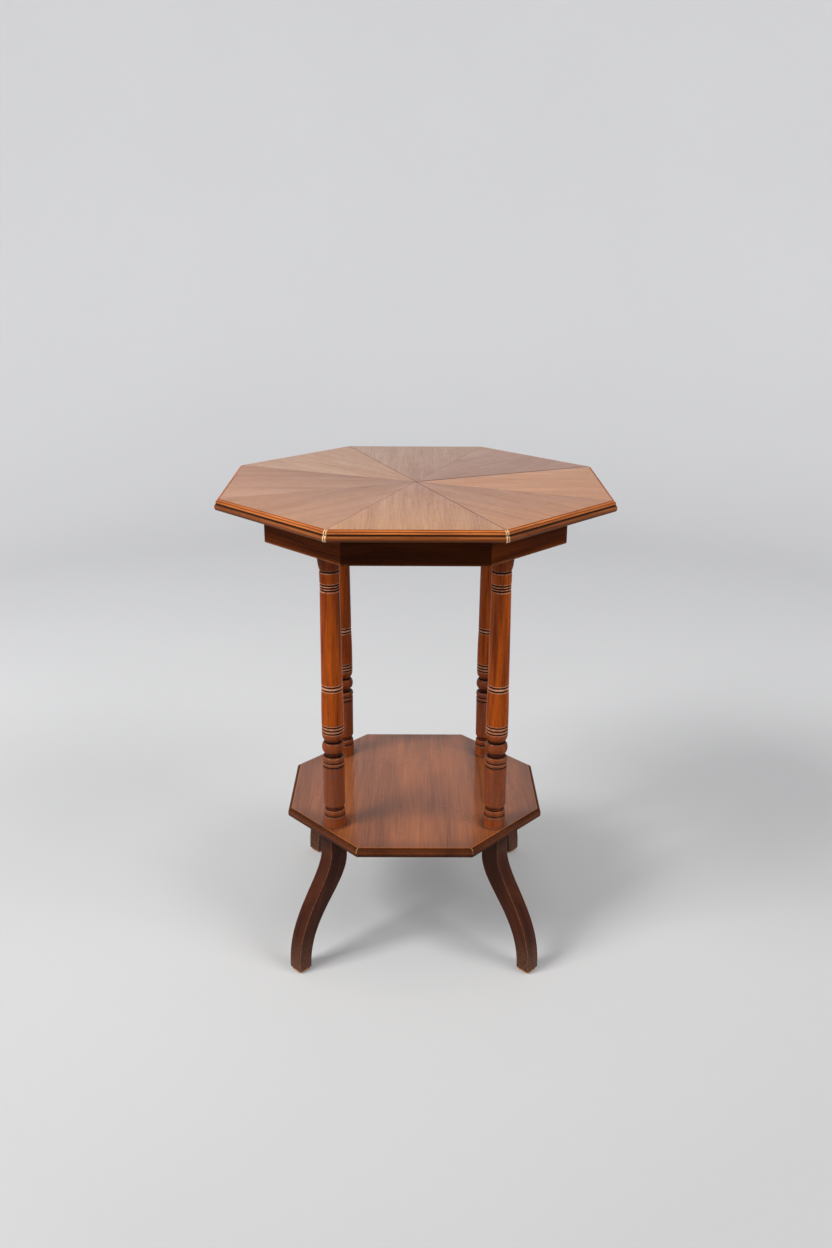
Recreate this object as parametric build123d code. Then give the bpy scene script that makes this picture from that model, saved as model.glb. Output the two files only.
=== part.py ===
from build123d import *
import os
from math import cos, sin, tan, radians, sqrt

# Octagonal occasional table on four turned legs with an undertier, in millimetres.
# The origin is the middle of the footprint on the floor, +Z is up, and the front faces -Y.
# Every ring of eight pieces is made for the front side and then turned in steps of 45 degrees.

sides = ["front", "front_right", "right", "back_right", "back", "back_left", "left", "front_left"]
corners = ["front_right", "back_right", "back_left", "front_left"]
side_turn = 45
mitre = tan(radians(side_turn / 2))

# ---- top ----
table_height = 700
top_thickness = 14.6
veneer_thickness = 1.5
field_apothem = 261.0            # the veneered field, from the centre to the middle of a side
quirk_gap = 0.3                  # between the veneer and the moulding round it
seam_gap = 0.3                   # between two leaves of veneer
open_seam_gap = 0.6              # where two leaves have shrunk apart
open_seams = ["front", "right", "back"]     # named for the leaf before the seam
moulding_projection = 7.0
mitre_gap = 0.25                 # between two lengths of moulding
open_mitre_gap = 0.9             # the two front mitres have opened
open_mitres = ["front_left", "front"]

# ---- frieze ----
frieze_height = 48.4
frieze_face = 205.0              # centre to the face of the four wide rails
wide_rail_length = 191.0
frieze_thickness = 20.0
arris_ease = 0.7

# ---- legs ----
leg_radius = 165.0               # centre of the table to the centre of a leg
leg_top_tenon = (20.0, 30.0)     # diameter, length
leg_foot_tenon = 14.0            # diameter, through the undertier and into the foot
tenon_clearance = 0.1

# ---- leg blocks, glue blocks and screws inside the frieze ----
block_length = 100.0
block_depth = 54.0
block_inset = 4.4                # underside of a block above the lower edge of the frieze
glue_block_leg = 16.0
glue_block_height = 40.0
screw_offset = 33.0              # from the leg centre, along the block
screw_shank = 4.0
screw_head = 8.4
screw_length = 38.0
screw_into_top = 9.0

# ---- undertier ----
undertier_top = 216.0
undertier_thickness = 14.0
undertier_half = 185.3           # centre to the arris of the four long sides
undertier_front_half = 80.4      # half the length of the front and back arrises
undertier_side_half = 71.4       # half the length of the left and right arrises
undertier_projection = 5.0       # how far the rounded edge stands beyond the arris

# ---- feet ----
foot_width = 23.0
foot_depth = 30.0                # at the top, along the diagonal
foot_end_depth = 22.0            # at the floor
foot_top_reach = 167.5           # centre of the table to the middle of the foot's top
foot_end_reach = 237.7
foot_socket_depth = 24.0
foot_ease = 1.0
foot_end_chamfer = 2.6
pad_thickness = 2.0
pad_size = 19.0

# ---- worked out from the above ----
top_underside = table_height - top_thickness
ground_top = table_height - veneer_thickness
frieze_bottom = top_underside - frieze_height
narrow_rail_length = (frieze_face - wide_rail_length / 2) * sqrt(2)
narrow_rail_face = (frieze_face + wide_rail_length / 2) / sqrt(2)
block_underside = frieze_bottom + block_inset
block_height = top_underside - block_underside
undertier_underside = undertier_top - undertier_thickness


def at_side(shape, index):
    """Turn a piece made for the front round to side number index, counted anticlockwise."""
    return Rotation(0, 0, side_turn * index) * shape


def at_corner(shape, index):
    """Turn a piece made along +X round to the diagonal of corner number index."""
    return Rotation(0, 0, 90 * index - side_turn) * shape


def section_plane(point, outward, along):
    """Plane across an edge: local x points outwards and local y points up."""
    return Plane(origin=point, x_dir=outward, z_dir=-along)


def wedge(first_gap, second_gap):
    """Sector of the front side between two seams, each a gap wide, as tall as the table."""
    reach = table_height
    tip = (first_gap + second_gap) / 4 / sin(radians(side_turn / 2))
    shift = (second_gap - first_gap) / 4 / cos(radians(side_turn / 2))
    far = reach * mitre
    sector = Polygon((-shift, -tip), (-shift - far, -tip - reach), (-shift + far, -tip - reach), align=None)
    return extrude(sector, table_height)


def seam_after(side, names, gap, open_gap):
    """Width of the seam at the anticlockwise end of a side."""
    return open_gap if side in names else gap


# ---- the top -------------------------------------------------------------

def ground_board():
    """Octagonal ground that carries the veneer, with pilot holes for the fixing screws."""
    octagon = RegularPolygon(field_apothem, 8, major_radius=False, rotation=side_turn / 2)
    board = Pos(0, 0, top_underside) * extrude(octagon, top_thickness - veneer_thickness)
    pilot = Cylinder(screw_shank / 2 + tenon_clearance, screw_into_top + 1,
                     align=(Align.CENTER, Align.CENTER, Align.MIN))
    for x, y in screw_places():
        board -= Pos(x, y, top_underside) * pilot
    return board


def veneer_leaf(first_gap, second_gap):
    """One of eight triangular leaves whose points meet at the centre."""
    apothem = field_apothem - quirk_gap
    octagon = RegularPolygon(apothem, 8, major_radius=False, rotation=side_turn / 2)
    sheet = Pos(0, 0, ground_top) * extrude(octagon, veneer_thickness)
    return sheet & wedge(first_gap, second_gap)


def moulding_section():
    """Ovolo over a sunk fillet over a torus, seen with the back on x = 0 and the top on y = 0."""
    ovolo_start, ovolo_end = (0.6, -0.5), (5.0, -5.3)
    recess_x = 4.0
    torus_top = (5.2, -6.9)
    torus_nose = (moulding_projection, -9.8)
    torus_foot = (5.6, -top_thickness)
    outline = Curve() + [
        Polyline((0, -top_thickness), (0, 0), (0.6, 0), ovolo_start),
        ThreePointArc(ovolo_start, (3.9, -1.9), ovolo_end),
        Polyline(ovolo_end, (recess_x, ovolo_end[1]), (recess_x, torus_top[1]), torus_top),
        Spline(torus_top, torus_nose, torus_foot, tangents=[(1, 0), (-0.5, -1)]),
        Line(torus_foot, (0, -top_thickness)),
    ]
    return make_face(outline)


def edge_moulding(first_gap, second_gap):
    """One mitred length of moulding glued to the edge of the ground board."""
    plane = section_plane((0, -field_apothem, table_height), (0, -1, 0), Vector(1, 0, 0))
    length = extrude(plane * moulding_section(), field_apothem, both=True)
    return length & wedge(first_gap, second_gap)


# ---- the frieze ----------------------------------------------------------

def frieze_rail(face, length):
    """A rail with mitred ends, its outer face on y = -face and its lower arris eased."""
    shoulder = frieze_thickness * mitre
    plan = Polygon((-length / 2, -face), (length / 2, -face),
                   (length / 2 - shoulder, frieze_thickness - face),
                   (shoulder - length / 2, frieze_thickness - face), align=None)
    rail = Pos(0, 0, frieze_bottom) * extrude(plan, frieze_height)
    lower_arris = rail.edges().sort_by(Axis.Z)[:4].sort_by(Axis.Y)[0]
    return chamfer(lower_arris, arris_ease)


def frieze_inner_corners():
    """Plan of the hollow inside the rails, anticlockwise from the front side's left end."""
    face = frieze_face - frieze_thickness
    half = wide_rail_length / 2 - frieze_thickness * mitre
    quarter = [Vector(-half, -face), Vector(half, -face)]
    return [point.rotate(Axis.Z, 90 * turn) for turn in range(4) for point in quarter]


def glue_blocks():
    """Eight triangular blocks rubbed into the corners of the frieze."""
    points = frieze_inner_corners()
    blocks = []
    for index, point in enumerate(points):
        before = (points[index - 1] - point).normalized() * glue_block_leg
        after = (points[(index + 1) % len(points)] - point).normalized() * glue_block_leg
        plan = make_face(Polyline(point + before, point, point + after, close=True))
        blocks.append(Pos(0, 0, top_underside - glue_block_height) * extrude(plan, glue_block_height))
    return Compound(children=blocks)


def leg_block():
    """Block behind a narrow rail, bored for the leg's tenon and counterbored for two screws."""
    back = narrow_rail_face - frieze_thickness
    block = Pos(back - block_depth / 2, 0, block_underside + block_height / 2) * Box(
        block_depth, block_length, block_height)
    mortise = Cylinder(leg_top_tenon[0] / 2 + tenon_clearance, leg_top_tenon[1] + 2,
                       align=(Align.CENTER, Align.CENTER, Align.MIN))
    block -= Pos(leg_radius, 0, block_underside) * mortise
    head_level = top_underside + screw_into_top - screw_length
    hole = Cylinder(screw_shank / 2 + tenon_clearance, block_height,
                    align=(Align.CENTER, Align.CENTER, Align.MIN))
    counterbore = Cylinder(screw_head / 2 + 0.6, head_level - block_underside + 3,
                           align=(Align.CENTER, Align.CENTER, Align.MIN))
    for offset in (-screw_offset, screw_offset):
        block -= Pos(leg_radius, offset, block_underside) * (hole + counterbore)
    return block


def screw_places():
    """Plan positions of the eight screws, two beside each leg."""
    places = []
    for index in range(len(corners)):
        for offset in (-screw_offset, screw_offset):
            place = Vector(leg_radius, offset).rotate(Axis.Z, 90 * index - side_turn)
            places.append((place.X, place.Y))
    return places


def fixing_screws():
    """Slotted wood screws driven up through the leg blocks into the ground board."""
    head_height, slot_width, slot_depth = 3.0, 1.1, 1.2
    point_length = 5.0
    shank_length = screw_length - head_height - point_length
    up = (Align.CENTER, Align.CENTER, Align.MIN)
    head = Cone(screw_head / 2, screw_shank / 2, head_height, align=up)
    head -= Box(screw_head, slot_width, slot_depth, align=up)
    shank = Pos(0, 0, head_height) * Cylinder(screw_shank / 2, shank_length, align=up)
    point = Pos(0, 0, head_height + shank_length) * Cone(screw_shank / 2, 0.4, point_length, align=up)
    screw = head + shank + point
    level = top_underside + screw_into_top - screw_length
    return Compound(children=[Pos(x, y, level) * screw for x, y in screw_places()])


# ---- the legs ------------------------------------------------------------

def bead(low, high, edge, crest):
    """Half-round member between two heights, as a curve from the top down."""
    return ThreePointArc((edge, high), (crest, (low + high) / 2), (edge, low))


def vee(level, radius):
    """Narrow groove cut with the skew's point."""
    half_width, depth = 1.3, 1.1
    return Polyline((radius, level + half_width), (radius - depth, level), (radius, level - half_width))


def leg_outline():
    """Members of the turning from the top down, as radius and height above the undertier."""
    shoulder = block_underside - undertier_top
    return [
        Polyline((0, shoulder + leg_top_tenon[1]), (leg_top_tenon[0] / 2, shoulder + leg_top_tenon[1]),
                 (leg_top_tenon[0] / 2, shoulder), (16.5, shoulder)),
        Spline((16.3, 404), (15.2, 396), (13.4, 389.5), tangents=[(0, -1), (-0.6, -1)]),
        Line((13.4, 387.6), (13.9, 387.4)),
        vee(369.5, 13.7),
        vee(365.7, 13.7),
        vee(361.9, 13.7),
        Spline((13.7, 360), (14.4, 290), (14.9, 223), tangents=[(0, -1), (0, -1)]),
        vee(220.7, 14.9),
        vee(215.4, 15.0),
        Spline((15.0, 213), (15.7, 190), (15.9, 162), tangents=[(0.02, -1), (0, -1)]),
        vee(159.7, 15.9),
        vee(154.7, 15.9),
        vee(149.7, 15.9),
        ThreePointArc((15.8, 147.5), (14.9, 141), (11.8, 135.5)),
        bead(116, 133.5, 12.2, 16.1),
        Line((11.6, 115.5), (11.6, 111.8)),
        ThreePointArc((12.0, 111.5), (13.0, 108.3), (15.2, 106.8)),
        bead(97.5, 106.5, 15.2, 16.4),
        Line((15.0, 97.3), (15.0, 96.2)),
        Line((15.8, 96), (15.4, 35)),
        Line((13.0, 30.5), (13.0, 27.2)),
        bead(18, 26.8, 13.2, 15.3),
        Line((14.4, 17.6), (14.4, 16.6)),
        Line((15.9, 16.2), (16.2, 0)),
    ]


def leg():
    """Turned leg with a round tenon at each end, on its own axis above the undertier."""
    tenon_end = -(undertier_thickness + foot_socket_depth - 2)
    tenon = leg_foot_tenon / 2
    members = leg_outline() + [Polyline((tenon, 0), (tenon, tenon_end), (0, tenon_end))]
    outline = [members[0]]
    for member in members[1:]:
        last = outline[-1] @ 1
        first = member @ 0
        if (first - last).length > 0.001:
            outline.append(Line(last, first))
        outline.append(member)
    outline.append(Line(outline[-1] @ 1, outline[0] @ 0))
    profile = make_face(Plane.XZ * (Curve() + outline))
    return Pos(leg_radius, 0, undertier_top) * revolve(profile, Axis.Z)


# ---- the undertier -------------------------------------------------------

def undertier_corners():
    """Corners of the top arris, anticlockwise; the diagonals are a little longer than the sides."""
    front, side, half = undertier_front_half, undertier_side_half, undertier_half
    right = [Vector(front, -half), Vector(half, -side), Vector(half, side), Vector(front, half)]
    return right + [Vector(-point.X, -point.Y) for point in right]


def undertier_waste():
    """What the moulding plane takes off: the space outside the rounded edge, seen in section."""
    out, step, square_top, square_foot = undertier_projection, 0.6, 6.6, 8.8
    foot_x = out - 3.0
    outside = out + 4
    outline = Curve() + [
        Line((0, 1), (0, -step)),
        ThreePointArc((0, -step), (3.7, -2.4), (out, -square_top)),
        Line((out, -square_top), (out, -square_foot)),
        ThreePointArc((out, -square_foot), (4.3, -12.0), (foot_x, -undertier_thickness)),
        Polyline((foot_x, -undertier_thickness), (foot_x, -undertier_thickness - 1),
                 (outside, -undertier_thickness - 1), (outside, 1), (0, 1)),
    ]
    return make_face(outline)


def undertier():
    """One board with its edge rounded all the way round and a hole under each leg."""
    points = undertier_corners()
    arris = make_face(Polyline(*points, close=True))
    blank = extrude(offset(arris, undertier_projection, kind=Kind.INTERSECTION), undertier_thickness)
    board = Pos(0, 0, undertier_underside) * blank
    for index, point in enumerate(points):
        along = (points[(index + 1) % len(points)] - point).normalized()
        outward = Vector(along.Y, -along.X)
        plane = section_plane(point + Vector(0, 0, undertier_top), outward, along)
        board -= extrude(plane * undertier_waste(), 2 * undertier_half, both=True)
    hole = Cylinder(leg_foot_tenon / 2 + tenon_clearance, 3 * undertier_thickness)
    for index in range(len(corners)):
        board -= at_corner(Pos(leg_radius, 0, undertier_top) * hole, index)
    return board


# ---- the feet ------------------------------------------------------------

def foot_curve(top, end, start_level, end_level, start_pull, end_pull):
    """S-curve from an upright start to an upright end, both as reach and height."""
    return Bezier((top, start_level), (top, start_level - start_pull),
                  (end, end_level + end_pull), (end, end_level))


def foot():
    """Outswept foot sawn from a plank, square in section, bored for the leg's tenon."""
    outer_top = foot_top_reach + foot_depth / 2
    inner_top = foot_top_reach - foot_depth / 2
    outer_end = foot_end_reach + foot_end_depth / 2
    inner_end = foot_end_reach - foot_end_depth / 2
    outer = foot_curve(outer_top, outer_end, 178, 12, 47, 85)
    inner = foot_curve(inner_top, inner_end, 165, 6, 52, 85)
    outline = Curve() + [
        Polyline(inner @ 0, (inner_top, undertier_underside), (outer_top, undertier_underside), outer @ 0),
        outer,
        Polyline(outer @ 1, (outer_end, pad_thickness), (inner_end, pad_thickness), inner @ 1),
        inner,
    ]
    plank = extrude(make_face(Plane.XZ * outline), foot_width / 2, both=True)
    long_edges = [edge for edge in plank.edges() if abs(edge.center().Y) > foot_width / 2 - 0.01
                  and edge.bounding_box().size.Z > 1]
    plank = chamfer(long_edges, foot_ease)
    end_plane = Plane((foot_end_reach, 0, pad_thickness))
    toe = Rectangle(foot_end_depth - 2 * foot_end_chamfer, foot_width - 2 * foot_end_chamfer)
    slab = Rectangle(2 * foot_end_depth, 2 * foot_width)
    plank -= end_plane * (extrude(slab, foot_end_chamfer) - extrude(toe, foot_end_chamfer, taper=-45))
    socket = Cylinder(leg_foot_tenon / 2 + tenon_clearance, foot_socket_depth,
                      align=(Align.CENTER, Align.CENTER, Align.MAX))
    return plank - Pos(leg_radius, 0, undertier_underside) * socket


def foot_pad():
    """Thin pad glued under a foot."""
    pad = Pos(foot_end_reach, 0, pad_thickness / 2) * Box(pad_size, pad_size, pad_thickness)
    return fillet(pad.edges().filter_by(Axis.Z), 2.0)


def write(shape, name):
    shape.label = name
    export_step(shape, f"parts/{name}.step")


os.makedirs("parts", exist_ok=True)

write(ground_board(), "top_ground_board")
for index, side in enumerate(sides):
    ends = (sides[index - 1], side)
    seams = [seam_after(name, open_seams, seam_gap, open_seam_gap) for name in ends]
    mitres = [seam_after(name, open_mitres, mitre_gap, open_mitre_gap) for name in ends]
    write(at_side(veneer_leaf(*seams), index), f"veneer_leaf_{side}")
    write(at_side(edge_moulding(*mitres), index), f"edge_moulding_{side}")
    wide = index % 2 == 0
    face, length = (frieze_face, wide_rail_length) if wide else (narrow_rail_face, narrow_rail_length)
    write(at_side(frieze_rail(face, length), index), f"frieze_rail_{side}")

write(glue_blocks(), "frieze_glue_blocks")
write(fixing_screws(), "top_fixing_screws")
write(undertier(), "undertier")
for index, corner in enumerate(corners):
    write(at_corner(leg_block(), index), f"leg_block_{corner}")
    write(at_corner(leg(), index), f"leg_{corner}")
    write(at_corner(foot(), index), f"foot_{corner}")
    write(at_corner(foot_pad(), index), f"foot_pad_{corner}")
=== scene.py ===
import math
from functools import partial

import bmesh
import bpy
from mathutils import Matrix, Vector
from mathutils.geometry import interpolate_bezier


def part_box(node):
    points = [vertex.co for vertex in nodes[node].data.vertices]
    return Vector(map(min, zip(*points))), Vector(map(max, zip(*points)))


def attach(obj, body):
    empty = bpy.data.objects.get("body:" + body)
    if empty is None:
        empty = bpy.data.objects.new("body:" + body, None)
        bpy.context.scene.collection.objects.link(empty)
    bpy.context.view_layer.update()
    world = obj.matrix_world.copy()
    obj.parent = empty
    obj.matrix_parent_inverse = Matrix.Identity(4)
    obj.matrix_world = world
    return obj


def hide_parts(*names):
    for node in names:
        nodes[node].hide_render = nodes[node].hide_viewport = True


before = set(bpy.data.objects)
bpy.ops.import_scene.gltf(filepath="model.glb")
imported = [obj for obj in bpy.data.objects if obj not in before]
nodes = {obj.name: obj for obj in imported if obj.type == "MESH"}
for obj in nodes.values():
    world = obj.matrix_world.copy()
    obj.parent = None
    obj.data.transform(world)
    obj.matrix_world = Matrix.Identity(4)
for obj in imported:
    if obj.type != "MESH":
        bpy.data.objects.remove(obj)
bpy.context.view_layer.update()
mm = 0.001
sides = ("front", "front_right", "right", "back_right", "back", "back_left", "left", "front_left")
corners = ("front_right", "back_right", "back_left", "front_left")
sideTurn = 45  # degrees from one side of an octagon to the next
mitreAngle = math.radians(sideTurn / 2)
mitreSlope = math.tan(mitreAngle)
print("frame loaded:", len(nodes), "CAD nodes")


def linear(code):
    # "#rrggbb" as the eye sees it, to the linear colour that shaders work in
    channels = [int(code[i:i + 2], 16) / 255 for i in (1, 3, 5)]
    return [c / 12.92 if c <= 0.04045 else ((c + 0.055) / 1.055) ** 2.4 for c in channels] + [1]


def addNode(tree, kind, inputs=None, **settings):
    # an input takes a value, a node (its first output) or a (node, output name) pair
    node = tree.nodes.new(kind)
    for name, value in settings.items():
        setattr(node, name, value)
    for key, value in (inputs or {}).items():
        if isinstance(key, int):
            socket = node.inputs[key]
        else:
            socket = next(s for s in node.inputs if s.name == key and s.enabled)
        if isinstance(value, bpy.types.Node):
            value = (value, next(s.name for s in value.outputs if s.enabled))
        if isinstance(value, tuple) and isinstance(value[0], bpy.types.Node):
            source = next(s for s in value[0].outputs if s.name == value[1] and s.enabled)
            tree.links.new(source, socket)
        else:
            socket.default_value = value
    return node


def newMaterial(name):
    # an empty material, and addNode for its tree
    material = bpy.data.materials.new(name)
    material.use_nodes = True
    material.node_tree.nodes.clear()
    return material, partial(addNode, material.node_tree)


def linked(name, data):
    # an object in the scene that holds this data
    item = bpy.data.objects.new(name, data)
    bpy.context.scene.collection.objects.link(item)
    return item


colourMix = {"data_type": "RGBA"}
multiplyMix = {"data_type": "RGBA", "blend_type": "MULTIPLY"}


# camera, sweep and lights

camera = {
    "place": (-0.0042, -1.5592, 1.0498),
    "turn": -0.20,  # degrees about the upright
    "tilt": 70.09,  # degrees up from looking straight down
    "roll": 0.26,
    "lens": 32.21,
}
cameraData = bpy.data.cameras.new("camera")
cameraData.lens = camera["lens"]
cameraData.sensor_width = 36
cameraData.clip_start = 0.05
cameraData.clip_end = 50
cameraObject = linked("camera", cameraData)
cameraObject.matrix_world = (
    Matrix.Translation(camera["place"])
    @ Matrix.Rotation(math.radians(camera["turn"]), 4, "Z")
    @ Matrix.Rotation(math.radians(camera["tilt"]), 4, "X")
    @ Matrix.Rotation(math.radians(camera["roll"]), 4, "Z")
)
bpy.context.scene.camera = cameraObject
bpy.context.scene.view_settings.view_transform = "Standard"

softboxes = {
    "left_softbox": {"place": (-2.26, -1.30, 2.75), "size": 1.3, "power": 118, "colour": "#ffffff"},
    "right_softbox": {"place": (2.26, -1.30, 2.75), "size": 1.5, "power": 57, "colour": "#ffffff"},
}
lampTarget = (0, 0, 0.35)  # the middle of the table
for name, box in softboxes.items():
    lampData = bpy.data.lights.new(name, "AREA")
    lampData.shape = "SQUARE"
    lampData.size = box["size"]
    lampData.energy = box["power"]
    lampData.color = linear(box["colour"])[:3]
    lamp = linked(name, lampData)
    lamp.visible_camera = False
    lamp.location = box["place"]
    aim = Vector(lampTarget) - lamp.location
    lamp.rotation_mode = "QUATERNION"
    lamp.rotation_quaternion = aim.to_track_quat("-Z", "Y")

world = bpy.data.worlds.new("white_room")
world.use_nodes = True
background = world.node_tree.nodes["Background"]
background.inputs["Color"].default_value = linear("#fbfcff")
background.inputs["Strength"].default_value = 0.54
bpy.context.scene.world = world

sweep = {
    "floorRadius": 2.3, "curveRadius": 1.3, "wallTop": 2.3, "segments": 128,  # metres
    # paper tone by distance from the middle: paler where less light reaches it, and darker under and near
    # the table as painted shade
    "tonesAndShade": (
        (0.0, "#c3c3c3"), (0.25, "#cecdcc"), (0.7, "#c8c8c8"), (1.3, "#cbcbcb"), (2.2, "#cbcbcc"),
        (3.2, "#d5d5d6"), (3.6, "#d9d9da"),
    ),
    "frontShadeTone": "#e3e3e3",  # the paper in front of the table is painted a little greyer, as shade
}


def paleSweep():
    # a round seamless sweep, so the table can be seen against it from every side
    path = [(0.0, 0.0), (0.6, 0.0), (1.4, 0.0), (sweep["floorRadius"], 0.0)]
    for step in range(1, 17):
        angle = math.pi / 2 * step / 16
        path.append((
            sweep["floorRadius"] + sweep["curveRadius"] * math.sin(angle),
            sweep["curveRadius"] * (1 - math.cos(angle)),
        ))
    path.append((sweep["floorRadius"] + sweep["curveRadius"], sweep["wallTop"]))
    mesh = bmesh.new()
    rings = []
    for radius, height in path[1:]:
        turns = [2 * math.pi * k / sweep["segments"] for k in range(sweep["segments"])]
        rings.append([mesh.verts.new((radius * math.cos(a), radius * math.sin(a), height)) for a in turns])
    mesh.faces.new(rings[0])
    for lower, upper in zip(rings, rings[1:]):
        for k in range(sweep["segments"]):
            following = (k + 1) % sweep["segments"]
            mesh.faces.new((lower[k], upper[k], upper[following], lower[following]))
    data = bpy.data.meshes.new("pale_sweep")
    mesh.to_mesh(data)
    mesh.free()
    data.shade_smooth()
    return linked("pale_sweep", data)


def matteSweepPaper():
    # matte seamless paper: a pale grey with a barely seen cloudiness and no shine, with painted shade by
    # distance from the middle and toward the front
    paper, add = newMaterial("matte_sweep_paper")
    place = add("ShaderNodeTexCoord")
    cloud = add("ShaderNodeTexNoise", {"Vector": (place, "Object"), "Scale": 1.5, "Detail": 3.0})
    flat = add("ShaderNodeVectorMath", {0: (place, "Object"), 1: (1, 1, 0)}, operation="MULTIPLY")
    away = add("ShaderNodeVectorMath", {0: flat}, operation="LENGTH")
    share = add("ShaderNodeMath", {0: (away, "Value"), 1: 4.0}, operation="DIVIDE")
    tone = add("ShaderNodeValToRGB", {"Fac": share})
    stops = tone.color_ramp.elements
    for k, (distance, code) in enumerate(sweep["tonesAndShade"]):
        stop = stops[k] if k < 2 else stops.new(distance / 4.0)
        stop.position = distance / 4.0
        stop.color = linear(code)
    clouded = add("ShaderNodeMix", {"Factor": (cloud, "Fac"), "A": linear("#fbfbfb"),
        "B": linear("#ffffff")}, **colourMix)
    tone = add("ShaderNodeMix", {"Factor": 1.0, "A": (tone, "Color"), "B": (clouded, "Result")},
        **multiplyMix)
    # painted shade: the paper is greyer toward the front
    axes = add("ShaderNodeSeparateXYZ", {"Vector": (place, "Object")})
    backward = add("ShaderNodeMapRange", {"Value": (axes, "Y"), "From Min": -0.8, "From Max": 0.8})
    lean = add("ShaderNodeMix", {"Factor": (backward, "Result"), "A": linear(sweep["frontShadeTone"]),
        "B": linear("#ffffff")}, **colourMix)
    tone = add("ShaderNodeMix", {"Factor": 1.0, "A": (tone, "Result"), "B": (lean, "Result")},
        **multiplyMix)
    shader = add("ShaderNodeBsdfPrincipled", {"Base Color": (tone, "Result"), "Roughness": 0.9,
        "Specular IOR Level": 0.1})
    add("ShaderNodeOutputMaterial", {"Surface": shader})
    return paper


floor = paleSweep()
floor.data.materials.append(matteSweepPaper())
print("camera, softboxes and sweep ready")


# wood finishes

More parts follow.
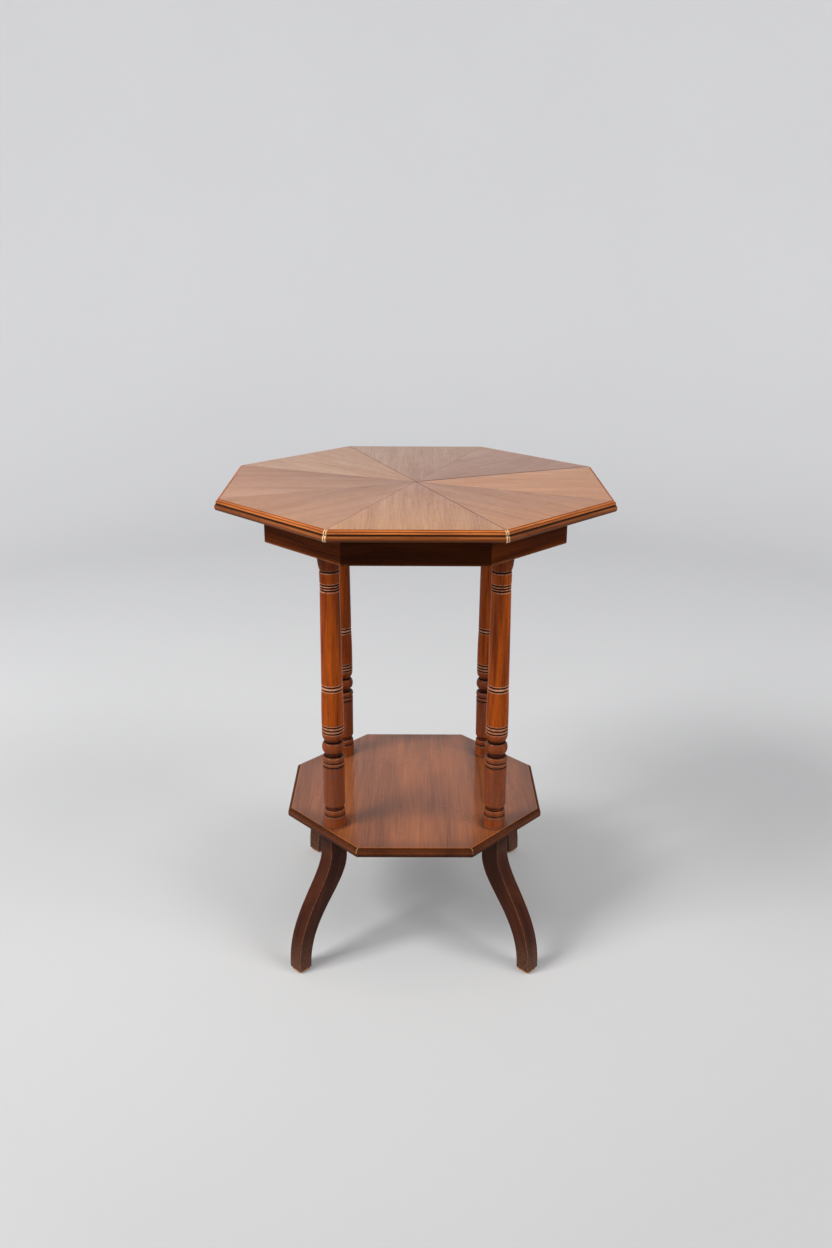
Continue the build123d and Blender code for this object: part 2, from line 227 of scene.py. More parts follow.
def polishedWood(name, look):
    # lengths and widths in the dictionary are the real sizes in mm of each part of the figure
    wood, add = newMaterial(name)
    if "turn" in look:
        place = add("ShaderNodeTexCoord")
        grain = add("ShaderNodeMapping", {"Vector": (place, "Object"), "Rotation": (0, 0, -look["turn"])})
    else:
        grain = add("ShaderNodeAttribute", attribute_name="grainSpace")

    # the grain wanders a little from straight
    slow = add("ShaderNodeMapping", {"Vector": (grain, "Vector"), "Location": look.get("shift", (0, 0, 0)),
        "Scale": (5, 14, 14)})
    wander = add("ShaderNodeTexNoise", {"Vector": slow, "Scale": 1.0, "Detail": 1.0})
    swing = add("ShaderNodeVectorMath", {0: (wander, "Color"), 1: (0.5, 0.5, 0.5)}, operation="SUBTRACT")
    swing = add("ShaderNodeVectorMath", {0: swing, 1: (0, look["wander"] * mm, look["wander"] * mm)},
        operation="MULTIPLY")
    line = add("ShaderNodeVectorMath", {0: (grain, "Vector"), 1: swing}, operation="ADD")

    shares = {}
    for layer, detail, lowest, highest in (
        ("broad", 2.0, 0.32, 0.68), ("streak", 3.0, 0.3, 0.7), ("pore", 1.0, 0.60, 0.72),
    ):
        length, width = look[layer + "Length"], look[layer + "Width"]
        stretch = add("ShaderNodeMapping", {"Vector": line, "Location": look.get("shift", (0, 0, 0)),
            "Scale": (1000 / length, 1000 / width, 1000 / width)})
        noise = add("ShaderNodeTexNoise", {"Vector": stretch, "Scale": 1.0, "Detail": detail})
        shares[layer] = add("ShaderNodeMapRange", {"Value": (noise, "Fac"), "From Min": lowest,
            "From Max": highest})
    broad, streak, pore = shares["broad"], shares["streak"], shares["pore"]
    figure = add("ShaderNodeMix", {"Factor": look["streakShare"], "A": (broad, "Result"),
        "B": (streak, "Result")}, data_type="FLOAT")
    colour = add("ShaderNodeMix", {"Factor": (figure, "Result"), "A": linear(look["dark"]),
        "B": linear(look["light"])}, **colourMix)

    if "turn" in look:
        colour = leafShading(add, grain, colour, look)

    poreAmount = add("ShaderNodeMath", {0: (pore, "Result"), 1: look["poreShare"]}, operation="MULTIPLY")
    colour = add("ShaderNodeMix", {"Factor": poreAmount, "A": (colour, "Result"),
        "B": linear(look["pore"])}, **colourMix)

    roughAdd = 0.0
    if "turn" not in look:
        patchy = add("ShaderNodeTexNoise", {"Vector": (grain, "Vector"), "Scale": 260.0, "Detail": 3.0})
        patchy = add("ShaderNodeMapRange", {"Value": (patchy, "Fac"), "From Min": 0.35, "From Max": 0.62,
            "To Min": 0.25, "To Max": 1.0})
        # the wear mask and worn colour are also a painted highlight on proud edges; the grime mask and
        # colour are also painted shade in hollows and under things
        wear = add("ShaderNodeAttribute", attribute_name="wear")
        wornAndHighlight = add("ShaderNodeMath", {0: (wear, "Fac"), 1: (patchy, "Result")}, operation="MULTIPLY")
        wornAndHighlight = add("ShaderNodeMath", {0: wornAndHighlight, 1: look["wornAndHighlightShare"]}, operation="MULTIPLY", use_clamp=True)
        grime = add("ShaderNodeAttribute", attribute_name="grime")
        settledAndShade = add("ShaderNodeMath", {0: (grime, "Fac"), 1: look["grimeAndShadeShare"]}, operation="MULTIPLY",
            use_clamp=True)
        if "legPlace" in look:
            legRing = dirtAndShadeRoundLegs(add, grain, look)
            settledAndShade = add("ShaderNodeMath", {0: settledAndShade, 1: legRing}, operation="MAXIMUM")
        bare = add("ShaderNodeAttribute", attribute_name="bareEnd")
        chipped = add("ShaderNodeMath", {0: (bare, "Fac"), 1: (patchy, "Result")}, operation="MULTIPLY",
            use_clamp=True)
        colourMarks = ((wornAndHighlight, look["wornAndHighlight"]), (settledAndShade, look["grime"]), (chipped, look.get("bare", look["wornAndHighlight"])))
        for share, code in colourMarks:
            colour = add("ShaderNodeMix", {"Factor": share, "A": (colour, "Result"), "B": linear(code)},
                **colourMix)
        roughAdd = add("ShaderNodeMath", {0: settledAndShade, 1: 0.25}, operation="MULTIPLY")  # the darkened places, dirt and painted shade, are duller

    # the polish has rubbed thin in some places and built up in others
    rubbed = add("ShaderNodeTexNoise", {"Vector": line, "Scale": 18.0, "Detail": 4.0, "Roughness": 0.6})
    gloss = add("ShaderNodeMapRange", {"Value": (rubbed, "Fac"), "From Min": 0.3, "From Max": 0.7,
        "To Min": look["roughness"] - look["roughnessSpread"] / 2,
        "To Max": look["roughness"] + look["roughnessSpread"] / 2})
    gloss = add("ShaderNodeMath", {0: (gloss, "Result"), 1: roughAdd}, operation="ADD", use_clamp=True)
    gloss = add("ShaderNodeMath", {0: poreAmount, 1: 0.3, 2: gloss}, operation="MULTIPLY_ADD",
        use_clamp=True)

    height = add("ShaderNodeMath", {0: (pore, "Result"), 1: -1.0, 2: (streak, "Result")},
        operation="MULTIPLY_ADD")
    bump = add("ShaderNodeBump", {"Height": height, "Strength": look["relief"], "Distance": 0.0004})
    shader = add("ShaderNodeBsdfPrincipled", {"Base Color": (colour, "Result"), "Roughness": gloss,
        "IOR": look["ior"], "Coat Weight": look["coat"], "Coat Roughness": look["coatRoughness"],
        "Coat IOR": 1.52, "Normal": bump})
    add("ShaderNodeOutputMaterial", {"Surface": shader})
    return wood


def dirtAndShadeRoundLegs(add, grain, look):
    # a dark ring round the foot of each leg: dirt that a cloth never reached, and painted contact shade
    centred = add("ShaderNodeVectorMath", {0: (grain, "Vector"), 1: (0, look["grainShift"], 0)},
        operation="SUBTRACT")
    folded = add("ShaderNodeVectorMath", {0: centred}, operation="ABSOLUTE")
    fromLeg = add("ShaderNodeVectorMath", {0: folded, 1: (look["legPlace"] * mm, look["legPlace"] * mm, 0)},
        operation="SUBTRACT")
    flat = add("ShaderNodeVectorMath", {0: fromLeg, 1: (1, 1, 0)}, operation="MULTIPLY")
    away = add("ShaderNodeVectorMath", {0: flat}, operation="LENGTH")
    return add("ShaderNodeMapRange", {"Value": (away, "Value"), "From Min": look["legRingInner"] * mm,
        "From Max": look["legRingOuter"] * mm, "To Min": look["legRingShare"], "To Max": 0.0},
        interpolation_type="SMOOTHSTEP")


def leafShading(add, grain, figure, look):
    # the leaf's tone from point to rim and from side to side, partly its own colour and partly painted
    # light, then its seams and the spot at the centre
    axes = add("ShaderNodeSeparateXYZ", {"Vector": (grain, "Vector")})
    outward = add("ShaderNodeMapRange", {"Value": (axes, "X"), "From Min": 0.04, "From Max": 0.25})
    tone = add("ShaderNodeMix", {"Factor": (outward, "Result"), "A": linear(look["point"]),
        "B": linear(look["rim"])}, **colourMix)
    halfWidth = add("ShaderNodeMath", {0: (axes, "X"), 1: mitreSlope}, operation="MULTIPLY")
    across = add("ShaderNodeMath", {0: (axes, "Y"), 1: halfWidth}, operation="DIVIDE")
    sideways = add("ShaderNodeMapRange", {"Value": across, "From Min": -1.0, "From Max": 1.0})
    lean = add("ShaderNodeMix", {"Factor": (sideways, "Result"), "A": linear(look["lastTint"]),
        "B": linear(look["nextTint"])}, **colourMix)
    tone = add("ShaderNodeMix", {"Factor": 1.0, "A": (tone, "Result"), "B": (lean, "Result")},
        **multiplyMix)
    tone = add("ShaderNodeMix", {"Factor": 1.0, "A": (tone, "Result"), "B": (figure, "Result")},
        **multiplyMix)
    aside = add("ShaderNodeMath", {0: (axes, "Y")}, operation="ABSOLUTE")
    inside = add("ShaderNodeMath", {0: halfWidth, 1: aside}, operation="SUBTRACT")
    lastSide = add("ShaderNodeMath", {0: (axes, "Y"), 1: 0.0}, operation="LESS_THAN")
    strength = add("ShaderNodeMapRange", {"Value": lastSide, "To Min": look["nextSeam"],
        "To Max": look["lastSeam"]})
    # seam lines are drawn 1 to 4 mm wide, wider than real, so that they still show
    spread = add("ShaderNodeMath", {0: (strength, "Result"), 1: 2.0}, operation="POWER")
    spread = add("ShaderNodeMath", {0: spread, 1: 0.0034, 2: 0.0007}, operation="MULTIPLY_ADD")
    seam = add("ShaderNodeMapRange", {"Value": inside, "From Min": 0.0002, "From Max": spread,
        "To Min": 1.0, "To Max": 0.0}, interpolation_type="SMOOTHSTEP")
    seam = add("ShaderNodeMath", {0: (seam, "Result"), 1: (strength, "Result")}, operation="MULTIPLY")
    radius = add("ShaderNodeVectorMath", {0: (grain, "Vector"), 1: (1, 1, 0)}, operation="MULTIPLY")
    radius = add("ShaderNodeVectorMath", {0: radius}, operation="LENGTH")
    spot = add("ShaderNodeMapRange", {"Value": (radius, "Value"), "From Min": 0.0012, "From Max": 0.0032,
        "To Min": 0.85, "To Max": 0.0})
    mark = add("ShaderNodeMath", {0: seam, 1: (spot, "Result")}, operation="MAXIMUM")
    return add("ShaderNodeMix", {"Factor": mark, "A": (tone, "Result"), "B": linear("#561a08")},
        **colourMix)


# the eight veneer leaves, which stay CAD nodes

# sliced mahogany veneer, French polished and faded by the sun: satin, with a fine straight grain; how each
# leaf takes the light is painted into its tones below
leafFinish = {
    "dark": "#c9b6a3", "light": "#ffffff", "pore": "#6b3a20",
    "broadLength": 420, "broadWidth": 14, "streakLength": 80, "streakWidth": 2.2,
    "poreLength": 10, "poreWidth": 1.1,  # real pores are about 0.2 mm wide, drawn coarser to show
    "streakShare": 0.62, "poreShare": 0.36, "wander": 2.0,
    "roughness": 0.40, "roughnessSpread": 0.10, "relief": 0.12,
    "ior": 1.46, "coat": 0.20, "coatRoughness": 0.22,
}
# tones from the middle of the top out to the rim, a tint toward the next leaf anticlockwise and toward the
# last one, and how dark the seam with each is; the tones are each leaf's own colour with painted light and
# shade
leafTonesAndLight = {
    "front": {"point": "#a87c65", "rim": "#b8865a", "nextTint": "#f2eee9", "lastTint": "#ffffff",
              "nextSeam": 0.60, "lastSeam": 0.40},
    "front_right": {"point": "#a37960", "rim": "#b47e53", "nextTint": "#e9dfda", "lastTint": "#ffffff",
                    "nextSeam": 0.12, "lastSeam": 0.60},
    "right": {"point": "#bb8862", "rim": "#b78156", "nextTint": "#ffffff", "lastTint": "#f6f0ea",
              "nextSeam": 1.0, "lastSeam": 0.10},
    "back_right": {"point": "#9f7a69", "rim": "#a17c69", "nextTint": "#ffffff", "lastTint": "#eee5e0",
                   "nextSeam": 0.25, "lastSeam": 1.0},
    "back": {"point": "#a37e6b", "rim": "#a58771", "nextTint": "#fdfbf9", "lastTint": "#f2ede9",
             "nextSeam": 0.55, "lastSeam": 0.25},
    "back_left": {"point": "#b38c6f", "rim": "#b18b6f", "nextTint": "#ffffff", "lastTint": "#f6f1ee",
                  "nextSeam": 0.12, "lastSeam": 0.50},
    "left": {"point": "#9e755c", "rim": "#b48364", "nextTint": "#ffffff", "lastTint": "#e9e0da",
             "nextSeam": 0.10, "lastSeam": 0.15},
    "front_left": {"point": "#a0775d", "rim": "#b17f5c", "nextTint": "#ffffff", "lastTint": "#f0e9e4",
                   "nextSeam": 0.38, "lastSeam": 0.10},
}
for index, side in enumerate(sides):
    look = dict(leafFinish, **leafTonesAndLight[side])
    look["turn"] = math.radians(sideTurn * index - 90)
    look["shift"] = (1.7 * index, 3.1 * index, 0.4 * index)
    finish = polishedWood("sliced_mahogany_" + side, look)
    for place in nodes["veneer_leaf_" + side].material_slots:
        place.material = finish
print("veneer leaves finished")


# outlines, with where they are paler from wear and painted highlight, and darker from dirt and painted shade

def curveRun(points, steps=24):
    # a smooth run through a few (x, y) points
    found = []
    count = len(points)
    for k in range(count - 1):
        before, start = Vector(points[max(k - 1, 0)]), Vector(points[k])
        end, after = Vector(points[k + 1]), Vector(points[min(k + 2, count - 1)])
        firstHandle = start + (end - before) / 6
        lastHandle = end - (after - start) / 6
        found += [tuple(p)[:2] for p in interpolate_bezier(
            start.to_3d(), firstHandle.to_3d(), lastHandle.to_3d(), end.to_3d(), steps + 1)]
        if k < count - 2:
            found.pop()
    return found


def beadRun(low, high, edge, crest, steps=22):
    middle, half = (low + high) / 2, (high - low) / 2
    angles = [math.pi * k / steps for k in range(steps + 1)]
    return [(edge + (crest - edge) * math.sin(a), middle - half * math.cos(a)) for a in angles]


def veeRun(height, radius, half=1.6, depth=1.25):
    return [(radius, height - half), (radius - depth, height - 0.55), (radius - depth, height + 0.55),
            (radius, height + half)]


def evenly(points, spacing, closed=False):
    # more points on the long straight runs
    found = []
    ends = points[1:] + (points[:1] if closed else [])
    for start, end in zip(points, ends):
        pieces = max(1, math.ceil(math.dist(start, end) / spacing))
        found += [
            tuple(a + (b - a) * k / pieces for a, b in zip(start, end)) for k in range(pieces)
        ]
    return found if closed else found + [points[-1]]


def proudness(points, reach, closed, solid):
    # how far each point stands above the chord between its neighbours, as a share of the reach;
    # solid is 1 when the outline goes round its wood anticlockwise, else -1
    count = len(points)
    found = []
    for k, here in enumerate(points):
        picked = []
        for way in (-1, 1):
            j, gone = k, 0.0
            while gone < reach:
                following = j + way
                if closed:
                    following %= count
                elif not 0 <= following < count:
                    break
                gone += math.dist(points[j], points[following])
                j = following
            picked.append(points[j])
        chord = (picked[1][0] - picked[0][0], picked[1][1] - picked[0][1])
        length = math.hypot(*chord) or 1e-9
        offset = (here[0] - picked[0][0]) * chord[1] - (here[1] - picked[0][1]) * chord[0]
        found.append(solid * offset / length / reach)
    return found


def proudAndLowMarks(points, reach, closed=False, solid=1):
    # a point that stands proud is paler, from wear and painted highlight, and one that lies low is darker,
    # from dirt and painted shade, which spreads further
    close = proudness(points, reach, closed, solid)
    wide = proudness(points, reach * 1.8, closed, solid)
    wear = [min(1.0, max(0.0, value - 0.12) * 2.6) for value in close]
    grime = [min(1.0, max(0.0, -min(a, b) - 0.05) * 3.4) for a, b in zip(close, wide)]
    return wear, grime


def byHeight(table, height):
    # a value read off (height, value) pairs, straight between them
    for (lowest, first), (highest, second) in zip(table, table[1:]):
        if lowest <= height <= highest:
            return first + (second - first) * (height - lowest) / ((highest - lowest) or 1)
    return table[0][1] if height < table[0][0] else table[-1][1]


def outlineObject(name, points, closed, reach, settledAndShade=((0, 0.0),), dusty=((0, 0.0),)):
    # a plain polyline for a node tree to read, with where it is paler, from wear and painted highlight, and
    # darker, from dirt and painted shade
    data = bpy.data.meshes.new(name)
    edges = [(k, k + 1) for k in range(len(points) - 1)]
    if closed:
        edges.append((len(points) - 1, 0))
    data.from_pydata([(x * mm, y * mm, 0) for x, y in points], edges, [])
    wear, grime = proudAndLowMarks(points, reach, closed)
    grime = [max(g, byHeight(settledAndShade, y)) for g, (x, y) in zip(grime, points)]
    dust = [byHeight(dusty, y) * (1 - g) for g, (x, y) in zip(grime, points)]
    storeValues(data, wear=wear, grime=grime, dust=dust)
    return linked(name, data)


def storeValues(data, grain=None, **shares):
    # what the materials read from each point
    for label, values in shares.items():
        data.attributes.new(label, "FLOAT", "POINT").data.foreach_set("value", values)
    if grain:
        data.attributes.new("grainSpace", "FLOAT_VECTOR", "POINT").data.foreach_set("vector", grain)


def skin(rings, size, flipped=False):
    # faces between rings of points, and one over each end
    faces = []
    for r in range(rings - 1):
        for k in range(size):
            a, b = r * size + k, r * size + (k + 1) % size
            faces.append((a, b, b + size, a + size))
    faces += [tuple(reversed(range(size))), tuple(range((rings - 1) * size, rings * size))]
    return [face[::-1] for face in faces] if flipped else faces


def nodeTree(name, sockets):
    tree = bpy.data.node_groups.new(name, "GeometryNodeTree")
    for label, kind in sockets:
        tree.interface.new_socket(name=label, in_out="INPUT", socket_type=kind)
    tree.interface.new_socket(name="Geometry", in_out="OUTPUT", socket_type="NodeSocketGeometry")
    return tree, partial(addNode, tree)


def bakedPiece(name, tree, values, smoothAngle):
    # runs the tree once on an empty mesh and keeps only the plain result
    maker = linked(name + "_maker", bpy.data.meshes.new(name + "_maker"))
    step = maker.modifiers.new("make", "NODES")
    step.node_group = tree
    names = {s.name: s.identifier for s in tree.interface.items_tree if s.in_out == "INPUT"}
    for label, value in values.items():
        step[names[label]] = value
    bpy.context.view_layer.update()
    graph = bpy.context.evaluated_depsgraph_get()
    data = bpy.data.meshes.new_from_object(maker.evaluated_get(graph), depsgraph=graph)
    maker.modifiers.clear()
    bpy.data.objects.remove(maker)
    data.name = name
    data.shade_smooth()
    data.set_sharp_from_angle(angle=math.radians(smoothAngle))
    return linked(name, data)


def keepPiece(piece, slotName, *replaced):
    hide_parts(*replaced)
    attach(piece, "root")


# the four turned legs

# turned mahogany under shellac, stained red-brown: a warm glow where the light rakes along it, nearly black
# in the scored grooves, from old polish and painted shade, and paler on the lips beside them, from wear and
# painted highlight
legFinish = {
    "dark": "#591f04", "light": "#b1510c", "pore": "#1d0702",
    "broadLength": 150, "broadWidth": 9, "streakLength": 60, "streakWidth": 2.0,
    "poreLength": 9, "poreWidth": 0.8,  # drawn coarser than the real 0.2 mm
    "streakShare": 0.40, "poreShare": 0.45, "wander": 4.0,
    # the pale worn colour is also a painted highlight on the lips, and the near-black grime colour is also
    # painted shade in the grooves
    "wornAndHighlight": "#cf9f80", "wornAndHighlightShare": 0.8, "grime": "#0c0402", "grimeAndShadeShare": 1.0, "bare": "#613a2c",
    "roughness": 0.32, "roughnessSpread": 0.14, "relief": 0.16,
    "ior": 1.06, "coat": 0.15, "coatRoughness": 0.10,
}
leg = {
    "segments": 96,
    "spacing": 1.2,  # mm between points up the straight runs
    "wearReach": 1.1,
    # how much dull old polish is left, by height: most on the lowest turnings
    "dusty": ((0, 0.5), (30, 1.0), (95, 1.0), (110, 0.8), (150, 0.5), (165, 0.0)),
    # darker by height: old polish gathered in the hollows between the lowest turnings, with painted shade
    # there too, at the foot of the leg and over the flare under the top
    "settledAndShade": (
        (0, 0.4), (3, 0.05), (14, 0.1), (17, 0.8), (19, 0.25), (25, 0.15), (27.5, 0.75), (31, 0.6),
        (34, 0.1), (93, 0.1), (96.5, 0.9), (98.5, 0.2), (101.5, 0.2), (103, 0.9), (105, 0.2),
        (110, 0.2), (112, 0.8),
        (117.5, 0.85), (119.5, 0.3), (131, 0.25),
        (134, 0.8), (138, 0.5), (144, 0.15), (147, 0.05), (150, 0.15), (160, 0.15), (164, 0.0), (386, 0.0),
        (388, 0.7), (391, 0.5), (396, 0.45), (404, 0.40), (425, 0.5),
    ),
    # (radius, height) in mm from the undertier up
    "outline": (
        [(0.0, 0.0), (15.6, 0.0), (16.2, 0.5), (15.9, 16.0), (15.6, 16.5), (14.4, 16.7), (14.4, 17.6)]
        + beadRun(18.0, 26.8, 13.2, 15.3)
        + [(13.0, 27.2), (13.0, 30.5)]
        + curveRun([(13.1, 30.6), (14.6, 32.6), (15.4, 35.0)], 8)
        + [(15.7, 95.7), (15.5, 96.1), (15.0, 96.3), (15.0, 97.3)]
        + beadRun(97.5, 102.2, 15.0, 16.0)
        + [(14.3, 102.5), (14.3, 103.4)]
        + beadRun(103.7, 111.6, 14.2, 16.2)
        + [(12.3, 112.4), (11.4, 113.2), (11.4, 117.0)]
        + beadRun(117.6, 133.5, 12.0, 16.1, 34)
        + [(11.8, 134.2)]
        + curveRun([(11.8, 135.5), (14.9, 141.0), (15.8, 147.5)], 14)
        + veeRun(149.7, 15.9) + veeRun(154.7, 15.9) + veeRun(159.7, 15.9)
        + curveRun([(15.9, 162.0), (15.7, 190.0), (15.0, 213.0)], 20)
        + veeRun(215.4, 15.0) + veeRun(220.7, 14.9)
        + curveRun([(14.9, 223.0), (14.4, 290.0), (13.7, 359.6)], 36)
        + veeRun(361.9, 13.7) + veeRun(365.7, 13.7) + veeRun(369.5, 13.7)
        + [(13.9, 386.4), (13.7, 387.0), (12.5, 387.5), (12.5, 389.1)]
        + curveRun([(13.5, 389.7), (15.2, 396.0), (16.3, 404.0)], 14)
        + [(16.5, 425.4), (0.0, 425.4)]
    ),
}


def turningTree():
    # sweeps an outline round the upright, as the lathe does
    tree, add = nodeTree("turned_leg", (
        ("Outline", "NodeSocketObject"), ("Segments", "NodeSocketInt"), ("Place", "NodeSocketVector"),
        ("Grain Start", "NodeSocketVector"), ("Turn", "NodeSocketFloat"), ("Finish", "NodeSocketMaterial"),
    ))
    given = add("NodeGroupInput")
    outline = add("GeometryNodeObjectInfo", {"Object": (given, "Outline")})
    count = add("GeometryNodeAttributeDomainSize", {"Geometry": (outline, "Geometry")}, component="MESH")
    rings = add("ShaderNodeMath", {0: (given, "Segments"), 1: 1.0}, operation="ADD")
    grid = add("GeometryNodeMeshGrid", {"Vertices X": rings, "Vertices Y": (count, "Point Count")})
    index = add("GeometryNodeInputIndex")
    ringShare = add("ShaderNodeMath", {0: index, 1: (count, "Point Count")}, operation="DIVIDE")
    ring = add("ShaderNodeMath", {0: ringShare}, operation="FLOOR")
    point = add("ShaderNodeMath", {0: index, 1: (count, "Point Count")}, operation="MODULO")
    sampled = {}
    for label, kind in (
        ("position", "FLOAT_VECTOR"), ("wear", "FLOAT"), ("grime", "FLOAT"), ("dust", "FLOAT"),
    ):
        if label == "position":
            source = add("GeometryNodeInputPosition")
        else:
            source = add("GeometryNodeInputNamedAttribute", {"Name": label}, data_type=kind)
        sampled[label] = add("GeometryNodeSampleIndex", {"Geometry": (outline, "Geometry"), "Value": source,
            "Index": point}, data_type=kind)
    around = add("ShaderNodeMath", {0: ring, 1: (given, "Segments")}, operation="DIVIDE")
    angle = add("ShaderNodeMath", {0: around, 1: 2 * math.pi, 2: (given, "Turn")}, operation="MULTIPLY_ADD")
    axes = add("ShaderNodeSeparateXYZ", {"Vector": sampled["position"]})
    upright = add("ShaderNodeCombineXYZ", {"X": (axes, "X"), "Z": (axes, "Y")})
    turned = add("ShaderNodeVectorRotate", {"Vector": upright, "Angle": angle}, rotation_type="Z_AXIS")
    placed = add("ShaderNodeVectorMath", {0: turned, 1: (given, "Place")}, operation="ADD")
    shape = add("GeometryNodeSetPosition", {"Geometry": (grid, "Mesh"), "Position": placed})
    turnedAxes = add("ShaderNodeSeparateXYZ", {"Vector": turned})
    local = add("ShaderNodeCombineXYZ", {"X": (turnedAxes, "Z"), "Y": (turnedAxes, "X"),
        "Z": (turnedAxes, "Y")})
    local = add("ShaderNodeVectorMath", {0: local, 1: (given, "Grain Start")}, operation="ADD")
    for label, kind, value in (
        ("wear", "FLOAT", sampled["wear"]), ("grime", "FLOAT", sampled["grime"]),
        ("bareEnd", "FLOAT", sampled["dust"]), ("grainSpace", "FLOAT_VECTOR", local),
    ):
        shape = add("GeometryNodeStoreNamedAttribute", {"Geometry": shape, "Name": label, "Value": value},
            data_type=kind, domain="POINT")
    # the two edges of the sweep meet, and so do the points at its poles
    shape = add("GeometryNodeMergeByDistance", {"Geometry": shape, "Distance": 1e-6})
    shape = add("GeometryNodeRealizeInstances", {"Geometry": shape})
    shape = add("GeometryNodeSetMaterial", {"Geometry": shape, "Material": (given, "Finish")})
    add("NodeGroupOutput", {"Geometry": shape})
    return tree


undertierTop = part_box("undertier")[1].z
legPoints = evenly(leg["outline"], leg["spacing"])
legOutline = outlineObject(
    "leg_outline", legPoints, False, leg["wearReach"], settledAndShade=leg["settledAndShade"], dusty=leg["dusty"],
)
turnedMahogany = polishedWood("turned_mahogany", legFinish)
lathe = turningTree()
for index, corner in enumerate(corners):
    low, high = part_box("leg_" + corner)
    piece = bakedPiece("turned_leg_" + corner, lathe, {
        "Outline": legOutline,
        "Segments": leg["segments"],
        "Place": ((low.x + high.x) / 2, (low.y + high.y) / 2, undertierTop),
        "Grain Start": (0.7 * index, 0.31 * index, 0.17 * index),
        "Turn": 1.3 * index,
        "Finish": turnedMahogany,
    }, 38)
    keepPiece(piece, "turned_leg", "leg_" + corner)
bpy.data.objects.remove(legOutline)
print("turned legs made")


# mitred lengths: the edge moulding and the frieze

def lengthTree():
    # runs a section along one side of an eight-sided frame and mitres both ends
    tree, add = nodeTree("mitred_length", (
        ("Section", "NodeSocketObject"), ("Stations", "NodeSocketInt"), ("Half Length", "NodeSocketFloat"),
        ("Face", "NodeSocketFloat"), ("Height", "NodeSocketFloat"), ("Turn", "NodeSocketFloat"),
        ("Start Gap", "NodeSocketFloat"), ("End Gap", "NodeSocketFloat"),
        ("Start Bare", "NodeSocketFloat"), ("End Bare", "NodeSocketFloat"),
        ("Grain Start", "NodeSocketVector"), ("Finish", "NodeSocketMaterial"),
    ))
    given = add("NodeGroupInput")
    line = add("GeometryNodeCurvePrimitiveLine", {"Start": (-1, 0, 0), "End": (1, 0, 0)})
    line = add("GeometryNodeResampleCurve", {"Curve": line, "Count": (given, "Stations")})
    section = add("GeometryNodeObjectInfo", {"Object": (given, "Section")})
    ring = add("GeometryNodeMeshToCurve", {"Mesh": (section, "Geometry")})
    bar = add("GeometryNodeCurveToMesh", {"Curve": line, "Profile Curve": ring, "Fill Caps": True})
    position = add("GeometryNodeInputPosition")
    axes = add("ShaderNodeSeparateXYZ", {"Vector": position})
    # stations lie closer together toward the mitres
    eased = add("ShaderNodeMath", {0: (axes, "X"), 1: math.pi / 2}, operation="MULTIPLY")
    eased = add("ShaderNodeMath", {0: eased}, operation="SINE")
    # the section stands with its width across the bar and its height upright
    outward = add("ShaderNodeMath", {0: (axes, "Y"), 1: -1.0}, operation="MULTIPLY")
    reach = add("ShaderNodeMath", {0: outward, 1: mitreSlope, 2: (given, "Half Length")},
        operation="MULTIPLY_ADD")
    rightPart = add("ShaderNodeMath", {0: eased, 1: 0.0}, operation="MAXIMUM")
    leftPart = add("ShaderNodeMath", {0: eased, 1: 0.0}, operation="MINIMUM")
    full = add("ShaderNodeMath", {0: eased, 1: reach}, operation="MULTIPLY")
    cutRight = add("ShaderNodeMath", {0: rightPart, 1: (given, "End Gap")}, operation="MULTIPLY")
    cutLeft = add("ShaderNodeMath", {0: leftPart, 1: (given, "Start Gap")}, operation="MULTIPLY")
    along = add("ShaderNodeMath", {0: full, 1: cutRight}, operation="SUBTRACT")
    along = add("ShaderNodeMath", {0: along, 1: cutLeft}, operation="SUBTRACT")
    back = add("ShaderNodeMath", {0: (axes, "Y"), 1: (given, "Face")}, operation="SUBTRACT")
    up = add("ShaderNodeMath", {0: (given, "Height"), 1: (axes, "Z")}, operation="SUBTRACT")
    straight = add("ShaderNodeCombineXYZ", {"X": along, "Y": back, "Z": up})
    turned = add("ShaderNodeVectorRotate", {"Vector": straight, "Angle": (given, "Turn")},
        rotation_type="Z_AXIS")
    shape = add("GeometryNodeStoreNamedAttribute", {"Geometry": bar, "Name": "grainSpace",
        "Value": add("ShaderNodeVectorMath", {0: straight, 1: (given, "Grain Start")}, operation="ADD")},
        data_type="FLOAT_VECTOR", domain="POINT")
    # bare wood shows within about 1 mm of an open mitre
    bare = []
    for way, label in ((1, "End Bare"), (-1, "Start Bare")):
        toEnd = add("ShaderNodeMath", {0: eased, 1: -way, 2: 1.0}, operation="MULTIPLY_ADD")
        toEnd = add("ShaderNodeMath", {0: toEnd, 1: reach}, operation="MULTIPLY")
        near = add("ShaderNodeMapRange", {"Value": toEnd, "From Min": 0.0012, "From Max": 0.0018,
            "To Min": 1.0, "To Max": 0.0})
        bare.append(add("ShaderNodeMath", {0: (near, "Result"), 1: (given, label)}, operation="MULTIPLY"))
    bare = add("ShaderNodeMath", {0: bare[0], 1: bare[1]}, operation="MAXIMUM")
    shape = add("GeometryNodeStoreNamedAttribute", {"Geometry": shape, "Name": "bareEnd", "Value": bare},
        data_type="FLOAT", domain="POINT")
    shape = add("GeometryNodeSetPosition", {"Geometry": shape, "Position": turned})
    shape = add("GeometryNodeFlipFaces", {"Mesh": shape})
    shape = add("GeometryNodeRealizeInstances", {"Geometry": shape})
    shape = add("GeometryNodeSetMaterial", {"Geometry": shape, "Material": (given, "Finish")})
    add("NodeGroupOutput", {"Geometry": shape})
    return tree


